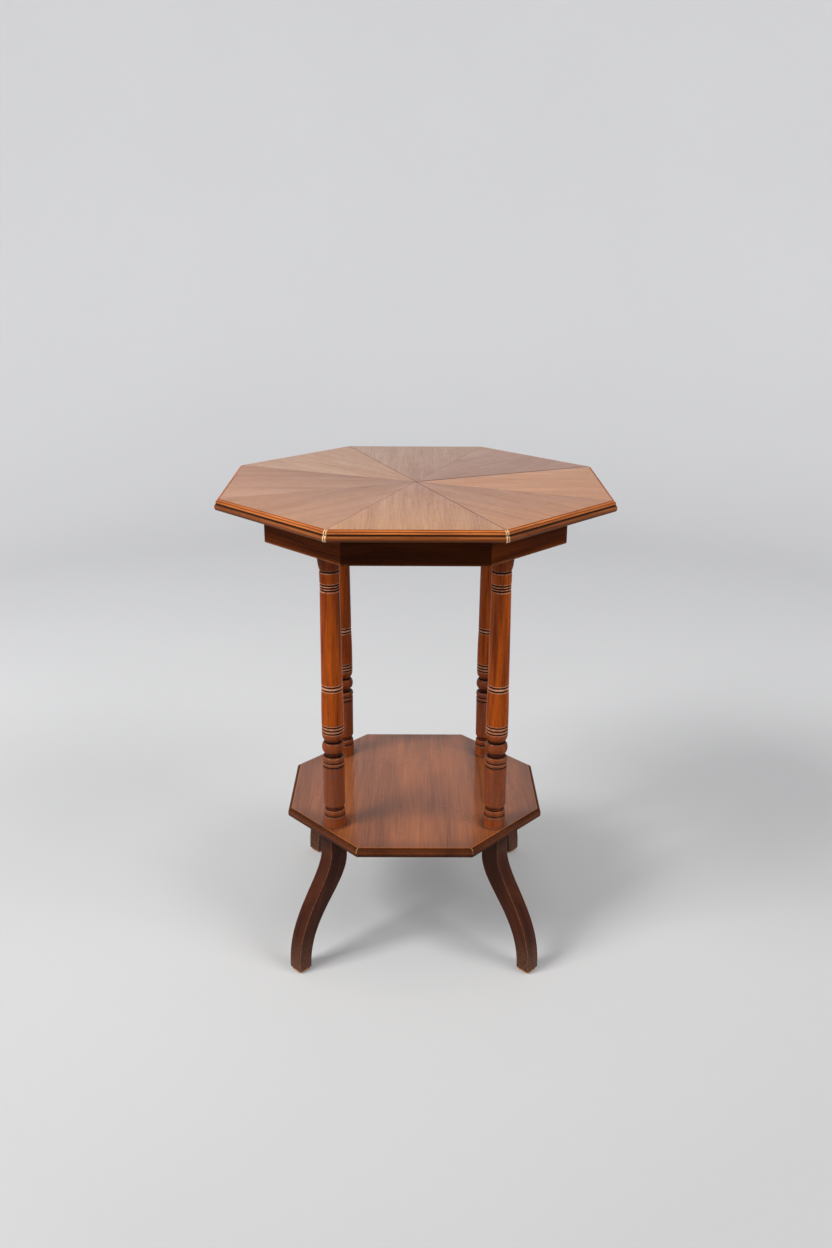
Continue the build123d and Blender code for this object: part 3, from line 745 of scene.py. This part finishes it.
# run mahogany moulding, stained dark and polished with the top: red where the light falls on it, black along
# the quirks from old polish and painted shade, rubbed to bare wood at two opened mitres
mouldingFinish = {
    "dark": "#6c2b0d", "light": "#cf7536", "pore": "#1f0a03",
    "broadLength": 160, "broadWidth": 10, "streakLength": 60, "streakWidth": 1.8,
    "poreLength": 10, "poreWidth": 1.0,  # drawn coarser than the real 0.2 mm
    "streakShare": 0.5, "poreShare": 0.5, "wander": 2.0,
    "wornAndHighlight": "#bd7a44", "wornAndHighlightShare": 0.6, "grime": "#160702", "grimeAndShadeShare": 0.95, "bare": "#e8c698",
    "roughness": 0.34, "roughnessSpread": 0.14, "relief": 0.12,
    "ior": 1.16, "coat": 0.08, "coatRoughness": 0.12,
}
moulding = {
    "stations": 100,
    "projection": 7.0,  # mm beyond the veneered field
    "openEnds": ("front_left", "front"),  # the mitre after each of these sides has opened
    "closedGap": 0.25,
    "openGap": 1.5,
    "spacing": 0.6,  # mm between points round the section
    "wearReach": 0.8,
    # darker by height, from old polish and dirt with painted shade: a broad band in the quirk, a line under
    # the arris, less below
    "settledAndShade": (
        (-14.6, 0.88), (-12.6, 0.75), (-9.8, 0.58), (-8.2, 0.42), (-7.4, 0.92), (-5.3, 0.92), (-4.7, 0.15),
        (-3.1, 0.05), (-2.8, 0.70), (-2.0, 0.75), (-1.5, 0.05), (0.0, 0.0),
    ),
    # (out, up) in mm from the back of the moulding at the top
    "section": (
        [(0.0, -14.6), (5.6, -14.6)]
        + curveRun([(5.6, -14.6), (6.7, -12.6), (6.96, -9.8), (6.5, -7.9), (5.2, -6.9)], 8)[1:]
        + [(4.0, -6.9), (4.0, -5.3), (5.0, -5.3)]
        + curveRun([(5.0, -5.3), (4.9, -3.6), (3.9, -1.9), (2.4, -0.9), (0.6, -0.5)], 7)[1:]
        + [(0.6, 0.0), (0.0, 0.0)]
    ),
}
mouldLow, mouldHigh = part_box("edge_moulding_front")
lengths = lengthTree()
mouldingPoints = evenly(moulding["section"], moulding["spacing"], True)
mouldingSection = outlineObject(
    "moulding_section", mouldingPoints, True, moulding["wearReach"], settledAndShade=moulding["settledAndShade"],
)
mouldedMahogany = polishedWood("run_mahogany_moulding", mouldingFinish)
mouldFace = -mouldLow.y - moulding["projection"] * mm
for index, side in enumerate(sides):
    openBefore = sides[index - 1] in moulding["openEnds"]
    openAfter = side in moulding["openEnds"]
    # half of each gap comes off each end, measured along the length
    gaps = [
        (moulding["openGap"] if isOpen else moulding["closedGap"]) / 2 * mm / math.cos(mitreAngle)
        for isOpen in (openBefore, openAfter)
    ]
    piece = bakedPiece("moulded_edge_" + side, lengths, {
        "Section": mouldingSection,
        "Stations": moulding["stations"],
        "Half Length": mouldFace * mitreSlope,
        "Face": mouldFace,
        "Height": mouldHigh.z,
        "Turn": math.radians(sideTurn * index),
        "Start Gap": gaps[0],
        "End Gap": gaps[1],
        "Start Bare": float(openBefore),
        "End Bare": float(openAfter),
        "Grain Start": (0.9 * index, 0.23 * index, 0.41 * index),
        "Finish": mouldedMahogany,
    }, 35)
    keepPiece(piece, "edge_moulding", "edge_moulding_" + side)
bpy.data.objects.remove(mouldingSection)
print("edge mouldings made")

# sawn and planed mahogany rails with a dark polish, always in the shade of the top: a dull red on the
# slanting rails, with a lower edge paler from wear and painted highlight; the front and the other wide rails
# are painted nearly black as shade
friezeFinish = {
    "dark": "#381404", "light": "#6a2f0b", "pore": "#120501",
    "broadLength": 140, "broadWidth": 14, "streakLength": 80, "streakWidth": 2.2,
    "poreLength": 10, "poreWidth": 0.8,  # drawn coarser than the real 0.2 mm
    "streakShare": 0.45, "poreShare": 0.4, "wander": 3.0,
    "wornAndHighlight": "#9a6038", "wornAndHighlightShare": 0.7, "grime": "#0d0503", "grimeAndShadeShare": 0.8,
    "roughness": 0.34, "roughnessSpread": 0.14, "relief": 0.14,
    "ior": 1.06, "coat": 0.02, "coatRoughness": 0.16,
}
frieze = {
    "stations": 40,
    "thickness": 20.0,
    "ease": 0.7,
    "spacing": 3.0,
    "wearReach": 0.9,
    # painted shade: the four wide rails are drawn darker than the narrow ones
    "wideShadeTones": {"dark": "#210d04", "light": "#421c08", "wornAndHighlight": "#6b3a1c"},
}
railLow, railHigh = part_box("frieze_rail_front")
railHeight = (railHigh.z - railLow.z) / mm
ease, thick = frieze["ease"], frieze["thickness"]
railCorners = ((-ease, -railHeight + ease, -90), (-ease, -ease, 0))
railPoints = [(-thick, 0.0), (-thick, -railHeight)]
for centreX, centreY, start in railCorners:
    for k in range(7):
        angle = math.radians(start + 90 * k / 6)
        railPoints.append((centreX + ease * math.cos(angle), centreY + ease * math.sin(angle)))
railSection = outlineObject(
    "rail_section", evenly(railPoints, frieze["spacing"], True), True, frieze["wearReach"],
)
narrowMahogany = polishedWood("planed_mahogany_narrow_rail", friezeFinish)
shadedWideMahogany = polishedWood("planed_mahogany_wide_rail_painted_shade", dict(friezeFinish, **frieze["wideShadeTones"]))
for index, side in enumerate(sides):
    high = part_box("frieze_rail_" + side)[1]
    turn = Matrix.Rotation(math.radians(sideTurn * index), 3, "Z")
    outward, sideways = turn @ Vector((0, -1, 0)), turn @ Vector((1, 0, 0))
    rail = [v.co for v in nodes["frieze_rail_" + side].data.vertices]
    face = max(p.dot(outward) for p in rail)
    half = max(p.dot(sideways) for p in rail)
    piece = bakedPiece("planed_rail_" + side, lengths, {
        "Section": railSection,
        "Stations": frieze["stations"],
        "Half Length": half,
        "Face": face,
        "Height": high.z,
        "Turn": math.radians(sideTurn * index),
        "Start Gap": 0.0,
        "End Gap": 0.0,
        "Start Bare": 0.0,
        "End Bare": 0.0,
        "Grain Start": (0.8 * index, 0.37 * index, 0.29 * index),
        "Finish": shadedWideMahogany if side in ("front", "right", "back", "left") else narrowMahogany,
    }, 35)
    keepPiece(piece, "frieze", "frieze_rail_" + side)
bpy.data.objects.remove(railSection)
print("frieze rails made")


# the undertier

# planed mahogany shelf with a moulded edge, polished to a satin: it mirrors the legs softly and has a paler
# line along its arris, from wear and painted highlight
shelfFinish = {
    "dark": "#5b2e18", "light": "#9c5930", "pore": "#35180c",
    "broadLength": 300, "broadWidth": 34, "streakLength": 90, "streakWidth": 2.4,
    "poreLength": 14, "poreWidth": 0.9,  # drawn coarser than the real 0.2 mm
    "streakShare": 0.50, "poreShare": 0.10, "wander": 3.0,
    "wornAndHighlight": "#b5652c", "wornAndHighlightShare": 0.8, "grime": "#1f0c04", "grimeAndShadeShare": 0.95,
    "roughness": 0.30, "roughnessSpread": 0.10, "relief": 0.03,
    "ior": 1.32, "coat": 0.52, "coatRoughness": 0.06,
    "grainShift": 0.6,  # metres
    # rings of dirt and painted contact shade round the legs: where a leg stands, and the ring's inner and
    # outer radius, in mm
    "legPlace": 116.7, "legRingInner": 15.5, "legRingOuter": 27.0, "legRingShare": 0.62,
}
shelf = {
    "half": 185.3,  # mm from the middle to each wide side at the top arris
    "frontHalfEdge": 80.4,
    "sideHalfEdge": 71.4,
    "cornerRadius": 0.8,
    "chips": 0.9,
    "spacing": 0.7,
    "wearReach": 0.9,
    # the moulded edge is painted darker than the face, as shade, by height below the top arris
    "settledAndShade": (
        (-14.0, 0.9), (-9.0, 0.75), (-6.8, 0.5), (-5.6, 0.35), (-4.4, 0.6), (-0.7, 0.8), (-0.6, 0.1), (0, 0),
    ),
    "rimDarkening": ((-26.0, 0.0), (-9.0, 0.24), (-1.5, 0.42), (-0.4, 0.0)),  # and darker in a band inward over the face
    # the edge's own finish: less shine, and tones darker than the face's as painted shade
    "edgeShadedLook": {"ior": 1.12, "coat": 0.06, "dark": "#4a2413", "light": "#844521", "bare": "#c9996c"},
    # (out, up) in mm from the top arris
    "edge": (
        [(-26.0, 0.0), (-9.0, 0.0), (-1.2, 0.0), (-0.4, -0.02), (-0.1, -0.12), (0.0, -0.6)]
        + curveRun([(0.1, -0.65), (3.7, -2.4), (5.0, -6.6)], 12)
        + curveRun([(5.0, -8.8), (4.3, -12.0), (2.0, -14.0)], 10)
    ),
}


def shelfMesh():
    half, front, side = shelf["half"], shelf["frontHalfEdge"], shelf["sideHalfEdge"]
    arris = [(-front, -half), (front, -half), (half, -side), (half, side),
             (front, half), (-front, half), (-half, side), (-half, -side)]
    edge = shelf["edge"][:2] + evenly(shelf["edge"][2:], shelf["spacing"])
    wear, grime = proudAndLowMarks(edge, shelf["wearReach"], solid=-1)
    data = bpy.data.meshes.new("moulded_undertier")
    points, wearAndHighlightAll, grimeAndShadeAll, chipAll = [], [], [], []
    perCorner = 5

    def ringPoints(out):
        # each side moves out by the same amount, and each corner is rounded a little
        found = []
        count = len(arris)
        moved = []
        for k in range(count):
            a, b, c = Vector(arris[k - 1]), Vector(arris[k]), Vector(arris[(k + 1) % count])
            first, second = (b - a).normalized(), (c - b).normalized()
            firstOut, secondOut = Vector((first.y, -first.x)), Vector((second.y, -second.x))
            bisector = (firstOut + secondOut).normalized()
            moved.append((b + bisector * out / bisector.dot(firstOut), first, second))
        for corner, first, second in moved:
            cut = shelf["cornerRadius"]
            start, end = corner - first * cut, corner + second * cut
            for k in range(perCorner):
                share = k / (perCorner - 1)
                mixA = start.lerp(corner, share)
                mixB = corner.lerp(end, share)
                found.append(mixA.lerp(mixB, share))
        return found

    ringSize = perCorner * len(arris)
    for (out, up), w, g in zip(edge, wear, grime):
        ring = ringPoints(out)
        for k, p in enumerate(ring):
            points.append((p.x * mm, p.y * mm, undertierTop + up * mm))
            cornerShare = 1 - abs((k % perCorner) - (perCorner - 1) / 2) / ((perCorner - 1) / 2)
            onArris = w if up > -0.7 else 0.25 * w
            wearAndHighlightAll.append(min(1.0, onArris + (0.5 * cornerShare if out > 1 else 0.0)))
            onFace = out < 0.05
            # painted shade on the moulded edge, darkest underneath, and a darker band inward over the face
            # near the arris
            darkening = byHeight(shelf["rimDarkening"], out) if onFace else byHeight(shelf["settledAndShade"], up)
            grimeAndShadeAll.append(max(g, darkening))
            # the two front corners are chipped to bare wood
            chipAll.append(shelf["chips"] * cornerShare if k < 2 * perCorner and -7 < up < -0.3 else 0.0)
    data.from_pydata(points, [], skin(len(edge), ringSize, flipped=True))
    for face in data.polygons:
        face.material_index = 0 if face.normal.z > 0.95 else 1
    # the grain runs front to back
    grain = [value for x, y, z in points for value in (y, x + shelfFinish["grainShift"], z)]
    storeValues(data, grain, wear=wearAndHighlightAll, grime=grimeAndShadeAll, bareEnd=chipAll)
    data.shade_smooth()
    data.set_sharp_from_angle(angle=math.radians(30))
    return data


undertier = linked("moulded_undertier", shelfMesh())
undertier.data.materials.append(polishedWood("planed_mahogany_shelf", shelfFinish))
edgeShadedFinish = dict(shelfFinish, **shelf["edgeShadedLook"])
undertier.data.materials.append(polishedWood("moulded_mahogany_edge", edgeShadedFinish))
keepPiece(undertier, "undertier", "undertier")
print("undertier made")


# the four feet

# band-sawn mahogany feet, spokeshaved smooth and stained nearly black-brown: a dull sheen,
# greyer toward the floor where they are scuffed
footFinish = {
    "dark": "#2a1106", "light": "#4c220f", "pore": "#120704",
    "broadLength": 130, "broadWidth": 12, "streakLength": 70, "streakWidth": 2.2,
    "poreLength": 9, "poreWidth": 0.8,  # drawn coarser than the real 0.2 mm
    "streakShare": 0.4, "poreShare": 0.45, "wander": 5.0,
    "wornAndHighlight": "#8c6a55", "wornAndHighlightShare": 0.75, "grime": "#110806", "grimeAndShadeShare": 0.8,
    "roughness": 0.36, "roughnessSpread": 0.16, "relief": 0.16,
    "ior": 1.17, "coat": 0.04, "coatRoughness": 0.18,
}
foot = {
    "width": 23.0,
    "round": 1.1,
    "stations": 90,
    # Bezier handles as (reach from the table's middle, height) in mm
    "outer": ((182.5, 178.0), (182.5, 131.0), (248.7, 97.0), (248.7, 12.0)),
    "inner": ((152.5, 165.0), (152.5, 113.0), (226.7, 91.0), (226.7, 6.0)),
    "top": 202.0,
    "floor": 2.0,
    "endChamfer": 2.4,
    "grainWay": (74.0, 0, -190.0),  # the plank's grain runs from the top of the foot to its toe
    "flatShare": 0.86,  # how far across each face the wear at its arris ends
}


def footMesh(name, angle, index):
    def run(handles):
        curve = [tuple(p)[:2] for p in interpolate_bezier(
            *(Vector((x, z, 0)) for x, z in handles), foot["stations"])]
        return [(handles[0][0], foot["top"])] + curve + [(handles[3][0], foot["floor"])]

    chamfer = foot["endChamfer"]
    outer, inner = run(foot["outer"]), run(foot["inner"])
    # one more station where the end chamfer starts
    outer.insert(-1, (outer[-1][0], foot["floor"] + chamfer))
    inner.insert(-1, (inner[-1][0], foot["floor"] + chamfer))
    across = Vector((-math.sin(angle), math.cos(angle), 0))
    away = Vector((math.cos(angle), math.sin(angle), 0))
    chord = Vector(foot["grainWay"]).normalized()
    points, wearAndHighlightAll, grimeAndShadeAll, grain = [], [], [], []
    perCorner = 5
    stations = len(outer)
    for s, (o, i) in enumerate(zip(outer, inner)):
        middle = Vector(((o[0] + i[0]) / 2, (o[1] + i[1]) / 2))
        depthWay = Vector((o[0] - i[0], o[1] - i[1]))
        halfDepth = depthWay.length / 2
        depthWay.normalize()
        halfWidth = foot["width"] / 2
        if s == stations - 1:
            halfDepth -= chamfer
            halfWidth -= chamfer
        ring = []
        for signD, signW, start in ((1, 1, 0), (-1, 1, 90), (-1, -1, 180), (1, -1, 270)):
            for k in range(perCorner):
                turn = math.radians(start + 90 * k / (perCorner - 1))
                d = signD * (halfDepth - foot["round"]) + foot["round"] * math.cos(turn)
                w = signW * (halfWidth - foot["round"]) + foot["round"] * math.sin(turn)
                onArris = 1 - abs(k - (perCorner - 1) / 2) / ((perCorner - 1) / 2)
                ring.append((d, w, onArris))
            # a point in from the corner on each face keeps the wear and painted highlight narrow
            turn = math.radians(start + 90)
            nextD = signD * (halfDepth - foot["round"]) + foot["round"] * math.cos(turn)
            nextW = signW * (halfWidth - foot["round"]) + foot["round"] * math.sin(turn)
            ring.append((nextD * foot["flatShare"] if start in (0, 180) else nextD,
                         nextW * foot["flatShare"] if start in (90, 270) else nextW, 0.0))
        ringSize = len(ring)
        for d, w, onArris in ring:
            reach = middle.x + depthWay.x * d
            up = middle.y + depthWay.y * d
            place = away * reach + across * w
            points.append((place.x * mm, place.y * mm, up * mm))
            flat = Vector((reach, w, up))
            grain += [
                flat.dot(chord) * mm + 0.5 * index,
                (flat.x * chord.z - flat.z * chord.x) * mm + 0.3 * index,
                w * mm,
            ]
            low = max(0.0, 1 - up / 60)
            wearAndHighlightAll.append(min(1.0, onArris * (0.8 + 0.5 * low) + 0.42 * low))
            # painted shade: the top of the foot, under the shelf, is darker
            grimeAndShadeAll.append(max(0.0, (up - 192) / 10) * 0.9)
    data = bpy.data.meshes.new(name)
    data.from_pydata(points, [], skin(stations, ringSize))
    storeValues(data, grain, wear=wearAndHighlightAll, grime=grimeAndShadeAll)
    mesh = bmesh.new()
    mesh.from_mesh(data)
    bmesh.ops.recalc_face_normals(mesh, faces=mesh.faces)
    mesh.to_mesh(data)
    mesh.free()
    data.shade_smooth()
    data.set_sharp_from_angle(angle=math.radians(40))
    return data


sawnMahogany = polishedWood("sawn_mahogany_foot", footFinish)
for index, corner in enumerate(corners):
    angle = math.radians(90 * index - 45)
    name = "scrolled_foot_" + corner
    piece = linked(name, footMesh(name, angle, index))
    piece.data.materials.append(sawnMahogany)
    keepPiece(piece, "foot", "foot_" + corner)
print("feet made")


# what stays as it came from CAD, with its own finishes

def rawPine(name, early, late):
    # sawn softwood that was never polished: dry, with wide growth bands and glue stains
    pine, add = newMaterial(name)
    place = add("ShaderNodeTexCoord")
    stretch = add("ShaderNodeMapping", {"Vector": (place, "Object"), "Scale": (4, 90, 90)})
    bands = add("ShaderNodeTexNoise", {"Vector": stretch, "Scale": 1.0, "Detail": 3.0})
    # growth bands about 11 mm apart, and fibres about 1 mm wide, coarser than real so that they show
    fine = add("ShaderNodeMapping", {"Vector": (place, "Object"), "Scale": (60, 900, 900)})
    fibre = add("ShaderNodeTexNoise", {"Vector": fine, "Scale": 1.0, "Detail": 2.0})
    ring = add("ShaderNodeMapRange", {"Value": (bands, "Fac"), "From Min": 0.38, "From Max": 0.62})
    tone = add("ShaderNodeMix", {"Factor": (ring, "Result"), "A": linear(late), "B": linear(early)},
        **colourMix)
    fibreTone = add("ShaderNodeMix", {"Factor": (fibre, "Fac"), "A": linear("#b9a48c"),
        "B": linear("#ffffff")}, **colourMix)
    tone = add("ShaderNodeMix", {"Factor": 0.8, "A": (tone, "Result"), "B": (fibreTone, "Result")},
        **multiplyMix)
    darkening = add("ShaderNodeTexNoise", {"Vector": (place, "Object"), "Scale": 22.0, "Detail": 4.0})
    stained = add("ShaderNodeMapRange", {"Value": (darkening, "Fac"), "From Min": 0.52, "From Max": 0.70,
        "To Max": 0.75})
    tone = add("ShaderNodeMix", {"Factor": (stained, "Result"), "A": (tone, "Result"),
        "B": linear("#54341c")}, **colourMix)
    bump = add("ShaderNodeBump", {"Height": (fibre, "Fac"), "Strength": 0.35, "Distance": 0.0006})
    shader = add("ShaderNodeBsdfPrincipled", {"Base Color": (tone, "Result"), "Roughness": 0.78, "IOR": 1.5,
        "Specular IOR Level": 0.35, "Normal": bump})
    add("ShaderNodeOutputMaterial", {"Surface": shader})
    return pine


def dullSteel():
    # turned steel wood screws, dulled by age: grey-brown with specks of rust and a soft shine
    steel, add = newMaterial("turned_screw_steel")
    place = add("ShaderNodeTexCoord")
    # specks of rust about 1.5 mm across, drawn coarser than real
    specks = add("ShaderNodeTexNoise", {"Vector": (place, "Object"), "Scale": 700.0, "Detail": 4.0})
    rust = add("ShaderNodeMapRange", {"Value": (specks, "Fac"), "From Min": 0.48, "From Max": 0.62})
    tone = add("ShaderNodeMix", {"Factor": (rust, "Result"), "A": linear("#a29f9a"),
        "B": linear("#6b4630")}, **colourMix)
    metal = add("ShaderNodeMapRange", {"Value": (rust, "Result"), "To Min": 1.0, "To Max": 0.25})
    rough = add("ShaderNodeMapRange", {"Value": (rust, "Result"), "To Min": 0.36, "To Max": 0.8})
    shader = add("ShaderNodeBsdfPrincipled", {"Base Color": (tone, "Result"), "Metallic": (metal, "Result"),
        "Roughness": (rough, "Result")})
    add("ShaderNodeOutputMaterial", {"Surface": shader})
    return steel


def tanLeather():
    # vegetable-tanned leather pads cut from a hide: matte tan with a soft pebble, darker at the floor
    leather, add = newMaterial("cut_tan_leather")
    place = add("ShaderNodeTexCoord")
    # pebble about 1 mm across
    pebble = add("ShaderNodeTexVoronoi", {"Vector": (place, "Object"), "Scale": 1000.0})
    soil = add("ShaderNodeTexNoise", {"Vector": (place, "Object"), "Scale": 180.0, "Detail": 4.0})
    tone = add("ShaderNodeMix", {"Factor": (soil, "Fac"), "A": linear("#7c5533"), "B": linear("#c08f5c")},
        **colourMix)
    bump = add("ShaderNodeBump", {"Height": (pebble, "Distance"), "Strength": 0.3, "Distance": 0.0004})
    shader = add("ShaderNodeBsdfPrincipled", {"Base Color": (tone, "Result"), "Roughness": 0.72, "IOR": 1.5,
        "Normal": bump})
    add("ShaderNodeOutputMaterial", {"Surface": shader})
    return leather


pineFinish = rawPine("sawn_pine", "#b58f60", "#8a6238")
boardFinish = rawPine("stained_sawn_pine", "#6e4c2c", "#4c311b")
steelFinish, leatherFinish = dullSteel(), tanLeather()
carriedOver = {
    "top_ground_board": boardFinish, "frieze_glue_blocks": pineFinish, "top_fixing_screws": steelFinish,
}
for corner in corners:
    carriedOver["leg_block_" + corner] = pineFinish
    carriedOver["foot_pad_" + corner] = leatherFinish
for name, finish in carriedOver.items():
    for place in nodes[name].material_slots:
        place.material = finish
print("hidden woods, screws and pads finished")
